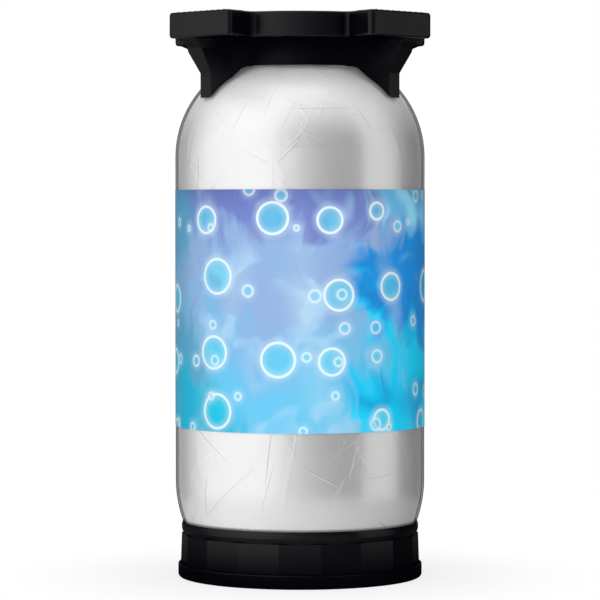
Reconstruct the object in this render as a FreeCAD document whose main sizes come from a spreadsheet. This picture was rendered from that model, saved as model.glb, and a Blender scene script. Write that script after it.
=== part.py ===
import FreeCAD, Part
import math
import os
import Sketcher

# A one-way twenty litre keg: a clear blown shell with a filled foil bag inside, a black grip
# ring clipped round the neck, a black base ring under the heel and a two-way valve in the neck.
# Frame: origin on the floor at the middle of the base, +Z up, -Y is the front, +X the right.
# Lengths are millimetres.

SIZES = (
    # clear shell
    ("shell_radius", 119.3),
    ("shell_wall", 1.5),
    ("shell_stand", 11.4),        # floor to the lowest point of the shell
    ("heel_angle", 30.0),         # degrees of the wide heel curve
    ("heel_knuckle", 45.0),       # tighter radius that turns the heel into the flat bottom
    ("straight_height", 308.1),
    ("dome_rise", 103.75),
    ("dome_knuckle", 100.0),
    ("fit_gap", 0.3),             # room between a ring and the shell it hugs
    # neck of the shell
    ("neck_radius", 31.0),
    ("neck_wall", 2.5),
    ("neck_rise", 15.6),          # dome top to the lip
    ("collar_drop", 12.5),        # lip down to the top of the support ring
    ("support_reach", 7.0),
    ("support_thick", 3.0),
    ("bead_drop", 5.0),           # lip down to the top of the snap bead
    ("bead_thick", 2.5),
    ("bead_reach", 2.0),
    # foil bag
    ("bag_gap", 0.4),
    ("bag_wall", 0.3),
    ("bag_rise", 90.6),
    ("bag_knuckle", 90.0),
    # label
    ("label_thick", 0.3),
    ("label_gap", 0.05),
    ("label_low_margin", 51.3),
    ("label_top_margin", 31.4),
    # base ring
    ("base_inset", 4.7),          # shell radius to the facet corners
    ("base_rim_level", 55.8),
    ("base_lean", 1.0),           # how far the faceted wall leans in towards its top
    ("base_band", 14.3),           # rounded band above the facets
    ("base_band_slope", 5.0),     # from the facets out to the band
    ("base_round", 6.0),          # rounding of the rim
    ("base_wall", 3.2),
    ("foot_height", 13.4),
    ("foot_reach", 2.4),          # foot beyond the facet corners
    ("foot_round", 3.2),
    ("foot_ease", 1.2),           # rounding of the foot's upper edge
    ("foot_floor", 2.5),
    ("foot_width", 17.0),
    ("seat_rib", 3.0),
    ("seat_radius", 58.0),        # axis to the inner end of a seat rib
    # grip ring
    ("ring_rise", 30.2),          # dome top to the top of the ring
    ("ring_radius", 100.3),
    ("ring_height", 24.0),
    ("ring_wall", 4.0),
    ("ring_plate", 3.0),
    ("ring_edge", 3.0),           # rounding of the outer edges
    ("ear_root", 60.0),           # axis to where an ear starts, inside the band
    ("ear_room_root", 75.0),      # axis to where the hollow of an ear starts
    ("ear_reach", 134.6),         # axis to the flat outer face of an ear
    ("ear_half", 42.3),
    ("ear_flare", 14.1),          # degrees
    ("ear_corner", 5.0),
    ("ear_rib_high", 0.4),
    ("ear_rib_wide", 1.6),
    ("ear_rib_pitch", 7.7),
    ("ear_rib_long", 24.0),
    ("ear_rib_inset", 1.0),
    ("collar_radius", 72.3),
    ("collar_wall", 3.0),
    ("collar_sink", 0.5),         # top of the ring down to the collar's top
    ("web_thick", 3.2),
    ("web_gap", 0.2),
    ("web_rim", 4.0),             # band left along each edge of the web
    ("spoke_wide", 9.0),
    # legs of the grip ring, either side of each hand hold
    ("leg_drop", 48.5),           # dome top down to the leg's foot
    ("leg_root", 40.0),           # axis to where the flat sides start, inside the collar
    ("leg_half", 59.0),
    ("leg_reach", 93.7),
    ("leg_corner", 10.0),
    ("leg_wall", 3.0),
    ("leg_straight", 23.0),       # upright part of the leg
    ("leg_fold", 64.0),           # where the flat side starts to flare to the ear
    ("flare_out", 24.0),
    ("flare_side", 21.0),
    ("flare_low", 8.1),           # below the ring, the flare's first bend
    ("flare_high", 3.1),          # below the ring, its second bend
    ("leg_tuck", 0.5),            # below the ring's rounding, the top of the leg
    ("sill_high", 19.0),
    ("hold_half", 40.0),
    ("hold_flare", 20.0),
    ("hold_lean", 2.0),           # the same window's widening within the ring
    # straight cut under the collar and the flat sides of the legs, seen from the front
    ("skirt_inset", 2.7),         # leg's corner to the lower end of the cut
    ("skirt_foot", 3.2),          # leg's foot up to the lower end of the cut
    ("skirt_half", 54.3),         # axis to where the cut meets the level part
    ("skirt_drop", 20.8),         # dome top down to that place
    ("skirt_ease", 5.3),
    ("skirt_ease_rise", 1.5),
    # closure ring
    ("closure_wall", 7.0),
    ("closure_lip", 3.2),
    ("closure_gap", 0.3),
    ("closure_ribs_radius", 1.2),
    ("closure_rib_low", 1.0),     # closure's lower edge up to its ribs
    ("closure_rib_drop", 2.0),    # closure's top down to its ribs
    ("closure_edge", 1.2),
    # valve body
    ("seal_high", 1.2),
    ("flange_thick", 2.8),
    ("boss_rise", 6.0),
    ("valve_edge", 0.8),          # bevel of the boss, the mouth and the sleeve
    ("boss_inset", 1.9),          # shell neck bore to the boss
    ("plug_depth", 7.0),
    ("plug_gap", 0.3),
    ("barrel_depth", 25.0),
    ("barrel_radius", 20.0),
    ("chamber_radius", 16.0),
    ("mouth_radius", 12.0),
    ("mouth_depth", 6.4),
    ("lug_reach", 2.2),
    ("lug_thick", 2.1),
    ("lug_angle", 26.0),
    ("port_radius", 3.0),
    ("port_drop", 2.0),           # plug down to the top of a gas port
    # gas valve, the outer sliding sleeve
    ("slide_gap", 0.35),
    ("seat_gap", 0.3),
    ("sleeve_sink", 0.4),
    ("sleeve_flange", 3.0),
    ("sleeve_flange_gap", 0.6),
    ("sleeve_taper", 3.0),        # height of the cone under the flange
    ("gas_seal_high", 2.2),
    ("stem_radius", 9.5),
    ("stem_low", 33.0),           # lip down to the end of the stem
    ("stem_gap", 0.07),
    ("stem_bore", 7.0),
    ("cup_radius", 8.0),
    ("cup_depth", 14.0),          # lip down to the floor of the cup
    ("crown_thick", 3.0),
    ("crown_bore", 5.0),
    # product valve, inside the sleeve
    ("product_seal_high", 2.2),
    ("product_seal_bore", 4.7),
    ("press_gap", 0.05),
    ("poppet_head", 7.4),
    ("poppet_thick", 4.1),
    ("poppet_nose", 4.2),
    ("nose_sink", 0.8),
    ("poppet_edge", 1.0),
    ("pin_radius", 3.0),
    ("pin_long", 4.0),
    ("cage_thick", 3.5),
    ("cage_bore", 3.2),
    # springs
    ("gas_wire", 1.5),
    ("gas_spring_radius", 12.9),
    ("gas_turns", 5.5),
    ("product_wire", 0.9),
    ("product_spring_radius", 5.6),
    ("product_turns", 4.5),
    ("relief_wire", 0.5),
    ("relief_spring_radius", 2.2),
    ("relief_turns", 6.0),
    # spout of the bag and its tube
    ("spout_flange", 3.5),
    ("spout_radius", 15.0),
    ("spout_low", 47.0),          # lip down to the end of the spout
    ("tube_socket", 7.0),
    ("groove_level", 33.3),       # lip down to the middle of the ring groove
    ("groove_high", 3.0),
    ("groove_depth", 2.6),
    ("cord_radius", 1.2),
    ("tube_radius", 8.0),
    ("tube_wall", 1.4),
    ("tube_stand", 40.0),
    ("tube_top_gap", 0.2),
    ("tube_hole", 2.0),
    ("tube_hole_pitch", 40.0),
    # relief valve
    ("relief_offset", 21.3),
    ("relief_radius", 3.4),
    ("relief_port", 1.6),
    ("relief_floor", 4.0),
    ("relief_disc", 1.7),
    ("relief_stem", 0.9),
    ("relief_stem_long", 6.5),
    ("relief_cap_thick", 2.9),
    ("relief_cap_bore", 1.2),
    # dust cap
    ("cap_gap", 0.4),
    ("cap_wall", 1.5),
    ("cap_clear", 0.6),
    ("cap_plate", 1.6),
    ("cap_skirt", 15.0),
    ("cap_edge", 1.2),
    ("tab_long", 11.0),
    ("tab_wide", 14.0),
    ("tab_thick", 1.8),
)

FACETS = 18
SEAT_RIBS = 8
SPOKES = 8
EARS = 4
EAR_RIBS = 9
CLOSURE_RIBS = 20
LUGS = 3
PORTS = 4
RELIEF_TURN = 60.0      # degrees round the axis from +X
TAB_TURN = -90.0        # the pull tab points to the front
TUBE_ROWS = 10
SPARE = 1.0             # how far a cutting solid runs past what it cuts
# Shares of the outward and the sideways flare that the legs have at their two bends, and how
# much of the sideways flare goes into the cut of their corners.
FLARE_AT_LOW = (0.57, 0.48)
FLARE_AT_HIGH = (0.76, 0.72)
CORNER_GAIN = 0.5

doc = FreeCAD.newDocument("keg")
sheet = doc.addObject("Spreadsheet::Sheet", "Sizes")
for row, (alias, number) in enumerate(SIZES, start=1):
    sheet.set("A%d" % row, alias)
    sheet.set("B%d" % row, str(number))
    sheet.setAlias("B%d" % row, alias)
doc.recompute()


class Size:
    """A length worked out from the sheet: its value now and the same formula as an expression."""

    def __init__(self, value, text):
        self.value = float(value)
        self.text = text

    def __add__(self, other):
        other = sized(other)
        return Size(self.value + other.value, "(%s + %s)" % (self.text, other.text))

    def __sub__(self, other):
        other = sized(other)
        return Size(self.value - other.value, "(%s - %s)" % (self.text, other.text))

    def __mul__(self, other):
        other = sized(other)
        return Size(self.value * other.value, "(%s * %s)" % (self.text, other.text))

    def __truediv__(self, other):
        other = sized(other)
        return Size(self.value / other.value, "(%s / %s)" % (self.text, other.text))

    def __neg__(self):
        return Size(-self.value, "(0 - %s)" % self.text)

    def __radd__(self, other):
        return sized(other) + self

    def __rsub__(self, other):
        return sized(other) - self

    def __rmul__(self, other):
        return sized(other) * self


def sized(number):
    """Wrap a plain number, so that it mixes with sizes."""
    if isinstance(number, Size):
        return number
    return Size(number, "%.6f" % number)


def size(alias):
    """The size in the cell with this alias."""
    return Size(sheet.get(alias), "Sizes.%s" % alias)


def root(inner):
    return Size(math.sqrt(inner.value), "sqrt(%s)" % inner.text)


def sine(angle):
    angle = sized(angle)
    return Size(math.sin(math.radians(angle.value)), "sin(%s)" % angle.text)


def cosine(angle):
    angle = sized(angle)
    return Size(math.cos(math.radians(angle.value)), "cos(%s)" % angle.text)


def bind(thing, **values):
    """Bind properties of an object to sizes."""
    for name, value in values.items():
        value = sized(value)
        setattr(thing, name, value.value)
        thing.setExpression(name, value.text)


def place(thing, x=0.0, y=0.0, z=0.0, turn=0.0):
    """Put an object at x, y, z, turned about the upright axis."""
    spots = (sized(x), sized(y), sized(z))
    base = FreeCAD.Vector(*[spot.value for spot in spots])
    thing.Placement = FreeCAD.Placement(base, FreeCAD.Rotation(FreeCAD.Vector(0, 0, 1), turn))
    for axis, spot in zip("xyz", spots):
        thing.setExpression("Placement.Base.%s" % axis, spot.text)
    return thing


# ---------------------------------------------------------------- sketches and simple solids

def arc_between(start, end, radius, side):
    """Short arc from start to end that bulges to the left (side 1) or the right (side -1)."""
    chord = end.sub(start)
    half = chord.Length / 2
    rise = radius - math.sqrt(max(radius * radius - half * half, 0.0))
    left = FreeCAD.Vector(-chord.y, chord.x, 0).normalize()
    middle = start.add(chord.multiply(0.5)).add(left.multiply(side * rise))
    return Part.Arc(start, middle, end)


def outline(sketch, corners, arcs=None):
    """Closed outline through corners. arcs maps a corner's number to (radius, side) of the arc
    that leaves it; every other stretch is straight. Corners and radii are bound to sizes."""
    arcs = arcs or {}
    count = len(corners)
    points = [FreeCAD.Vector(sized(x).value, sized(y).value, 0) for x, y in corners]
    ends = []
    for number in range(count):
        start = points[number]
        end = points[(number + 1) % count]
        if number in arcs:
            radius, side = arcs[number]
            index = sketch.addGeometry(arc_between(start, end, radius.value, side), False)
            ends.append((index, 2, 1) if side > 0 else (index, 1, 2))
            held = sketch.addConstraint(Sketcher.Constraint("Radius", index, radius.value))
            sketch.setExpression("Constraints[%d]" % held, radius.text)
        else:
            index = sketch.addGeometry(Part.LineSegment(start, end), False)
            ends.append((index, 1, 2))
    for number in range(count):
        index, first, last = ends[number]
        following, entry, _ = ends[(number + 1) % count]
        sketch.addConstraint(Sketcher.Constraint("Coincident", index, last, following, entry))
        for kind, axis, value in (("DistanceX", -2, corners[number][0]),
                                  ("DistanceY", -1, corners[number][1])):
            value = sized(value)
            if value.value == 0.0:
                sketch.addConstraint(Sketcher.Constraint("PointOnObject", index, first, axis))
                continue
            rule = Sketcher.Constraint(kind, -1, 1, index, first, value.value)
            held = sketch.addConstraint(rule)
            sketch.setExpression("Constraints[%d]" % held, value.text)
    return sketch


def body_plane(body, role):
    return [item for item in body.Origin.OriginFeatures if item.Role == role][0]


def body_sketch(body, name, role, lift=None, turn=0.0):
    """Sketch on one of the body's own origin planes, lifted along its normal and turned in it."""
    sketch = body.newObject("Sketcher::SketchObject", name)
    sketch.AttachmentSupport = [(body_plane(body, role), "")]
    sketch.MapMode = "FlatFace"
    lift = sized(lift or 0.0)
    spin = FreeCAD.Rotation(FreeCAD.Vector(0, 0, 1), turn)
    sketch.AttachmentOffset = FreeCAD.Placement(FreeCAD.Vector(0, 0, lift.value), spin)
    sketch.setExpression("AttachmentOffset.Base.z", lift.text)
    return sketch


def turned(label, corners, arcs=None):
    """Solid of revolution about the upright axis, from corners (radius, height)."""
    body = doc.addObject("PartDesign::Body", label)
    body.Label = label
    sketch = outline(body_sketch(body, label + "_half", "XZ_Plane"), corners, arcs)
    doc.recompute()
    solid = body.newObject("PartDesign::Revolution", label + "_turned")
    solid.Profile = sketch
    solid.ReferenceAxis = (sketch, ["V_Axis"])
    solid.Angle = 360
    body.Tip = solid
    doc.recompute()
    return body


def ring(label, inner, outer, low, high):
    """Plain ring of rectangular section."""
    return turned(label, [(inner, low), (outer, low), (outer, high), (inner, high)])


def cylinder(name, radius, low, high, x=0.0, y=0.0, turn=0.0, angle=None):
    thing = doc.addObject("Part::Cylinder", name)
    bind(thing, Radius=radius, Height=high - low)
    if angle is not None:
        bind(thing, Angle=angle)
    return place(thing, x, y, low, turn)


def box(name, long, wide, low, high, start=0.0, turn=0.0):
    """Upright block whose length runs outwards from start, centred sideways, turned about Z."""
    thing = doc.addObject("Part::Box", name)
    bind(thing, Length=long, Width=wide, Height=high - low)
    start = sized(start)
    half = wide / 2
    return place(thing,
                 start * cosine(turn) + half * sine(turn),
                 start * sine(turn) - half * cosine(turn),
                 low, turn)


def joined(name, pieces, label=None):
    thing = doc.addObject("Part::MultiFuse", name)
    thing.Shapes = pieces
    thing.Refine = True
    thing.Label = label or name
    doc.recompute()
    return thing


def cut(name, base, tool, label=None):
    thing = doc.addObject("Part::Cut", name)
    thing.Base = base
    thing.Tool = tool
    thing.Refine = True
    thing.Label = label or name
    doc.recompute()
    return thing


def spring(label, radius, wire, turns, low, high, x=0.0, y=0.0):
    """Round wire wound about an upright axis between two seats."""
    body = doc.addObject("PartDesign::Body", label)
    body.Label = label
    sketch = body_sketch(body, label + "_wire", "XZ_Plane")
    index = sketch.addGeometry(
        Part.Circle(FreeCAD.Vector(radius.value, wire.value / 2, 0),
                    FreeCAD.Vector(0, 0, 1), wire.value / 2), False)
    for kind, args, value in (("Radius", (index,), wire / 2),
                              ("DistanceX", (-1, 1, index, 3), radius),
                              ("DistanceY", (-1, 1, index, 3), wire / 2)):
        held = sketch.addConstraint(Sketcher.Constraint(kind, *args, value.value))
        sketch.setExpression("Constraints[%d]" % held, value.text)
    doc.recompute()
    coil = body.newObject("PartDesign::AdditiveHelix", label + "_coil")
    coil.Profile = sketch
    coil.ReferenceAxis = (sketch, ["V_Axis"])
    coil.Mode = "height-turns-angle"
    rise = high - low - wire
    bind(coil, Height=rise, Turns=turns)
    body.Tip = coil
    place(body, x, y, low)
    doc.recompute()
    return body


# ---------------------------------------------------------------- levels shared by the pieces

shell_radius = size("shell_radius")
shell_wall = size("shell_wall")
heel_knuckle = size("heel_knuckle")
heel_sine = sine(size("heel_angle"))
heel_cosine = cosine(size("heel_angle"))
heel_level = size("shell_stand") + heel_knuckle + (shell_radius - heel_knuckle) * heel_sine
shoulder_level = heel_level + size("straight_height")
dome_top = shoulder_level + size("dome_rise")
lip_level = dome_top + size("neck_rise")
support_top = lip_level - size("collar_drop")
neck_radius = size("neck_radius")
neck_bore = neck_radius - size("neck_wall")
support_radius = neck_radius + size("support_reach")
ring_top = dome_top + size("ring_rise")
ring_low = ring_top - size("ring_height")
foot_level = dome_top - size("leg_drop")
web_low = support_top + size("web_gap")
web_top = web_low + size("web_thick")
closure_radius = neck_radius + size("closure_wall")


def dome_arcs(radius, rise, knuckle, base):
    """Crown radius, crown centre height and the point where a knuckle of the given radius,
    tangent to an upright wall of this radius at this base level, meets the crown."""
    swing = radius - knuckle
    crown = (swing * swing + rise * rise - knuckle * knuckle) / ((rise - knuckle) * 2)
    centre = base + rise - crown
    slope_x = swing / (crown - knuckle)
    slope_z = (crown - rise) / (crown - knuckle)
    return crown, centre, slope_x, slope_z, swing


def shell_side(offset):
    """Corners and arcs of the shell's side from the axis at the bottom up to the crown, moved
    outwards by offset (inwards when it is negative)."""
    radius = shell_radius + offset
    knuckle = heel_knuckle + offset
    turn_x = (shell_radius - heel_knuckle) * heel_cosine
    turn_z = heel_level - (shell_radius - heel_knuckle) * heel_sine
    crown, centre, slope_x, slope_z, swing = dome_arcs(
        shell_radius, size("dome_rise"), size("dome_knuckle"), shoulder_level)
    dome_knuckle = size("dome_knuckle") + offset
    corners = [
        (0, turn_z - knuckle),
        (turn_x, turn_z - knuckle),
        (turn_x + knuckle * heel_cosine, turn_z - knuckle * heel_sine),
        (radius, heel_level),
        (radius, shoulder_level),
        (swing + dome_knuckle * slope_x, shoulder_level + dome_knuckle * slope_z),
    ]
    arcs = {1: (knuckle, -1), 2: (radius, -1), 4: (dome_knuckle, -1)}
    return corners, arcs, crown + offset, centre


def on_crown(crown, centre, radius):
    """Height of a crown at this radius."""
    return centre + root(crown * crown - radius * radius)


def shell_envelope(name, offset):
    """The shell without its neck as one full solid, grown by offset: it clears what hugs it."""
    corners, arcs, crown, centre = shell_side(offset)
    arcs[5] = (crown, -1)
    return turned(name, corners + [(0, centre + crown)], arcs)


# ---------------------------------------------------------------- shell, bag and label

def outer_shell():
    """Blown clear shell with a finished neck: support ring, snap bead and lip."""
    corners, arcs, crown, centre = shell_side(sized(0.0))
    inner, inner_arcs, inner_crown, _ = shell_side(-shell_wall)
    bead_top = lip_level - size("bead_drop")
    bead_low = bead_top - size("bead_thick")
    bead_radius = neck_radius + size("bead_reach")
    support_low = support_top - size("support_thick")
    arcs[5] = (crown, -1)
    neck = [
        (neck_radius, on_crown(crown, centre, neck_radius)),
        (neck_radius, support_low),
        (support_radius, support_low),
        (support_radius, support_top),
        (neck_radius, support_top),
        (neck_radius, bead_low),
        (bead_radius, bead_low),
        (neck_radius, bead_top),
        (neck_radius, lip_level),
        (neck_bore, lip_level),
        (neck_bore, on_crown(inner_crown, centre, neck_bore)),
    ]
    back = list(reversed(inner))
    first = len(corners) + len(neck)
    arcs[first - 1] = (inner_crown, 1)
    last = len(inner) - 1
    for start, (radius, side) in inner_arcs.items():
        arcs[first + last - start - 1] = (radius, -side)
    return turned("outer_shell", corners + neck + back, arcs)


def liner_bag():
    """Filled foil bag: it fills the shell up to the shoulder and hangs from the spout."""
    reach = -(shell_wall + size("bag_gap"))
    wall = size("bag_wall")
    spout = size("spout_radius") + size("press_gap")
    rise = size("bag_rise")
    knuckle = size("bag_knuckle")
    radius = shell_radius + reach
    crown, centre, slope_x, slope_z, swing = dome_arcs(radius, rise, knuckle, shoulder_level)

    def skin(depth):
        corners, arcs, _, _ = shell_side(reach - depth)
        tight = knuckle - depth
        corners[5] = (swing + tight * slope_x, shoulder_level + tight * slope_z)
        arcs[4] = (tight, -1)
        return corners, arcs, crown - depth

    corners, arcs, outer_crown = skin(sized(0.0))
    inner, inner_arcs, inner_crown = skin(wall)
    arcs[5] = (outer_crown, -1)
    rim = [(spout, on_crown(outer_crown, centre, spout)),
           (spout, on_crown(inner_crown, centre, spout))]
    first = len(corners) + len(rim)
    arcs[first - 1] = (inner_crown, 1)
    last = len(inner) - 1
    for start, (tight, side) in inner_arcs.items():
        arcs[first + last - start - 1] = (tight, -side)
    return turned("liner_bag", corners + rim + list(reversed(inner)), arcs)


def label():
    """Printed film wrapped round the straight wall."""
    inner = shell_radius + size("label_gap")
    return ring("label", inner, inner + size("label_thick"),
                heel_level + size("label_low_margin"), shoulder_level - size("label_top_margin"))


# ---------------------------------------------------------------- base ring

def base_ring():
    """Base ring: rounded rim band, faceted wall, wider foot, radial ribs that seat the shell."""
    corner = shell_radius - size("base_inset")
    top_corner = corner - size("base_lean")
    rim = size("base_rim_level")
    band_low = rim - size("base_band")
    foot = size("foot_height")
    foot_radius = corner + size("foot_reach")
    bevel = size("foot_round")
    ease = size("foot_ease")
    rounding = size("base_round")
    wall = size("base_wall")
    floor = size("foot_floor")
    band = top_corner * cosine(180.0 / FACETS)

    wall_low = doc.addObject("Sketcher::SketchObject", "base_facets_low")
    wall_high = doc.addObject("Sketcher::SketchObject", "base_facets_high")
    for sketch, reach, level in ((wall_low, corner, foot), (wall_high, top_corner, band_low)):
        spots = []
        for number in range(FACETS):
            angle = (number + 0.5) * 360.0 / FACETS - 90.0
            spots.append((reach * cosine(angle), reach * sine(angle)))
        outline(sketch, spots)
        place(sketch, z=level)
    doc.recompute()
    facets = doc.addObject("Part::Loft", "base_facets")
    facets.Sections = [wall_low, wall_high]
    facets.Solid = True
    facets.Ruled = True

    round_band = turned("base_band_solid", [
        (0, band_low),
        (band, band_low),
        (top_corner, band_low + size("base_band_slope")),
        (top_corner, rim - rounding),
        (top_corner - rounding, rim),
        (0, rim),
    ], {3: (rounding, -1)})
    foot_solid = turned("base_foot_solid", [
        (0, 0), (foot_radius - bevel, 0), (foot_radius, bevel), (foot_radius, foot - ease),
        (foot_radius - ease, foot), (0, foot)],
        {1: (bevel, -1), 3: (ease, -1)})
    outside = joined("base_outside", [round_band, facets, foot_solid])

    inner = band - wall
    hollow = turned("base_hollow", [
        (0, -SPARE), (foot_radius - size("foot_width"), -SPARE),
        (foot_radius - size("foot_width"), floor),
        (inner, floor), (inner, rim + SPARE), (0, rim + SPARE)])
    shell_of_base = cut("base_wall_solid", outside, hollow)

    start = size("seat_radius")
    ribs = []
    for number in range(SEAT_RIBS):
        ribs.append(box("base_rib_%d" % number, inner + SPARE - start, size("seat_rib"), floor,
                        band_low, start=start, turn=(number + 0.5) * 360.0 / SEAT_RIBS))
    plain = joined("base_plain", [shell_of_base] + ribs)
    cut("base_ring", plain, shell_envelope("base_room", size("fit_gap")))


# ---------------------------------------------------------------- grip ring

def ear_spots(reach, half, start):
    """Corners of an ear that points along +X and widens outwards."""
    slope = sine(size("ear_flare")) / cosine(size("ear_flare"))
    root_half = half - (reach - start) * slope
    return [(start, -root_half), (reach, -half), (reach, half), (start, root_half)]


def flat_edges(shape, test):
    return ["Edge%d" % number for number, edge in enumerate(shape.Edges, start=1) if test(edge)]


def rim_solid():
    """Round band with four ears: outside only, with every outer edge rounded."""
    body = doc.addObject("PartDesign::Body", "ring_rim")
    disc = body_sketch(body, "ring_disc", "XY_Plane", ring_low)
    index = disc.addGeometry(Part.Circle(FreeCAD.Vector(0, 0, 0), FreeCAD.Vector(0, 0, 1),
                                         size("ring_radius").value), False)
    disc.addConstraint(Sketcher.Constraint("Coincident", index, 3, -1, 1))
    held = disc.addConstraint(Sketcher.Constraint("Radius", index, size("ring_radius").value))
    disc.setExpression("Constraints[%d]" % held, size("ring_radius").text)
    doc.recompute()
    pad = body.newObject("PartDesign::Pad", "ring_disc_pad")
    pad.Profile = disc
    bind(pad, Length=size("ring_height"))
    doc.recompute()
    ear = body_sketch(body, "ring_ear", "XY_Plane", ring_low, turn=180.0 / EARS)
    outline(ear, ear_spots(size("ear_reach"), size("ear_half"), size("ear_root")))
    doc.recompute()
    ear_pad = body.newObject("PartDesign::Pad", "ring_ear_pad")
    ear_pad.Profile = ear
    bind(ear_pad, Length=size("ring_height"))
    doc.recompute()
    ears = body.newObject("PartDesign::PolarPattern", "ring_ears")
    ears.Originals = [ear_pad]
    ears.Axis = (body_plane(body, "Z_Axis"), [""])
    ears.Angle = 360
    ears.Occurrences = EARS
    body.Tip = ears
    doc.recompute()
    height = size("ring_height").value

    def upright(edge):
        box_ = edge.BoundBox
        tall = abs(box_.ZLength - height) < 1e-3
        return tall and box_.XLength < 1e-3 and box_.YLength < 1e-3

    corners = body.newObject("PartDesign::Fillet", "ring_ear_corners")
    corners.Base = (ears, flat_edges(ears.Shape, upright))
    bind(corners, Radius=size("ear_corner"))
    body.Tip = corners
    doc.recompute()

    def level(edge):
        return edge.BoundBox.ZLength < 1e-3

    edges = body.newObject("PartDesign::Fillet", "ring_edges")
    edges.Base = (corners, flat_edges(corners.Shape, level))
    bind(edges, Radius=size("ring_edge"))
    body.Tip = edges
    doc.recompute()
    return body


def ear_prism(name, reach, half, start, low, high, turn):
    sketch = doc.addObject("Sketcher::SketchObject", name + "_plan")
    outline(sketch, ear_spots(reach, half, start))
    place(sketch, z=low, turn=turn)
    doc.recompute()
    solid = doc.addObject("Part::Extrusion", name)
    solid.Base = sketch
    solid.DirMode = "Normal"
    solid.Solid = True
    bind(solid, LengthFwd=high - low)
    return solid


def leg_block(name, inset, foot, turn):
    """Loft of a pair of legs on the +X side, with flat sides that flare beyond the fold: upright
    at the foot, then spreading under the two ears. inset moves its walls inwards."""
    bend = foot_level + size("leg_straight")
    top = ring_top - size("ring_edge") - size("leg_tuck")
    steps = [(foot, (0.0, 0.0)), (bend, (0.0, 0.0)), (ring_low - size("flare_low"), FLARE_AT_LOW),
             (ring_low - size("flare_high"), FLARE_AT_HIGH), (ring_low, (1.0, 1.0)),
             (top, (1.0, 1.0))]
    start = size("leg_root")
    fold = size("leg_fold")
    straight = size("leg_half") - inset
    trim = inset * (2.0 - math.sqrt(2.0))
    sections = []
    for number, (level, (share_out, share_side)) in enumerate(steps):
        spread = size("flare_side") * share_side
        reach = size("leg_reach") + size("flare_out") * share_out - inset
        half = straight + spread
        corner = size("leg_corner") + spread * CORNER_GAIN - trim
        sketch = doc.addObject("Sketcher::SketchObject", "%s_plan_%d" % (name, number))
        outline(sketch, [(start, -straight), (fold, -straight), (reach - corner, -half),
                         (reach, corner - half), (reach, half - corner), (reach - corner, half),
                         (fold, straight), (start, straight)])
        place(sketch, z=level, turn=turn)
        sections.append(sketch)
    doc.recompute()
    block = doc.addObject("Part::Loft", name)
    block.Sections = sections
    block.Solid = True
    block.Ruled = True
    doc.recompute()
    return block


def hand_hold(name, turn):
    """Window between a pair of legs: it widens upwards to the sides of the ears."""
    sketch = doc.addObject("Sketcher::SketchObject", name + "_view")
    sill = foot_level + size("sill_high")
    low = size("hold_half")
    high = low + size("hold_flare")
    widest = high + size("hold_lean")
    top = ring_top + SPARE
    outline(sketch, [(-low, sill), (low, sill), (high, ring_low), (widest, top),
                     (-widest, top), (-high, ring_low)])
    upright = FreeCAD.Rotation(FreeCAD.Vector(1, 1, 1), 120)
    spin = FreeCAD.Rotation(FreeCAD.Vector(0, 0, 1), turn)
    start = spin.multVec(FreeCAD.Vector(size("collar_radius").value, 0, 0))
    sketch.Placement = FreeCAD.Placement(start, spin.multiply(upright))
    reach = size("collar_radius")
    sketch.setExpression("Placement.Base.x", (reach * cosine(turn)).text)
    sketch.setExpression("Placement.Base.y", (reach * sine(turn)).text)
    doc.recompute()
    solid = doc.addObject("Part::Extrusion", name)
    solid.Base = sketch
    solid.DirMode = "Normal"
    solid.Solid = True
    bind(solid, LengthFwd=size("ear_reach"))
    return solid


def skirt_room():
    """Room over the dome, front to back: level under the collar, then straight down to the legs'
    feet, so that the flat sides end in a straight edge."""
    sketch = doc.addObject("Sketcher::SketchObject", "ring_skirt_view")
    corner = size("leg_reach") - size("leg_corner") - size("skirt_inset")
    low = foot_level + size("skirt_foot")
    half = size("skirt_half")
    high = dome_top - size("skirt_drop")
    level_half = half - size("skirt_ease")
    level = high + size("skirt_ease_rise")
    under = foot_level - SPARE
    outline(sketch, [(-corner, under), (corner, under), (corner, low), (half, high),
                     (level_half, level), (-level_half, level), (-half, high), (-corner, low)])
    sketch.Placement = FreeCAD.Placement(FreeCAD.Vector(0, 0, 0),
                                         FreeCAD.Rotation(FreeCAD.Vector(1, 0, 0), 90))
    doc.recompute()
    solid = doc.addObject("Part::Extrusion", "ring_skirt_room")
    solid.Base = sketch
    solid.DirMode = "Normal"
    solid.Solid = True
    bind(solid, LengthFwd=size("ear_reach"), LengthRev=size("ear_reach"))
    return solid


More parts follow.
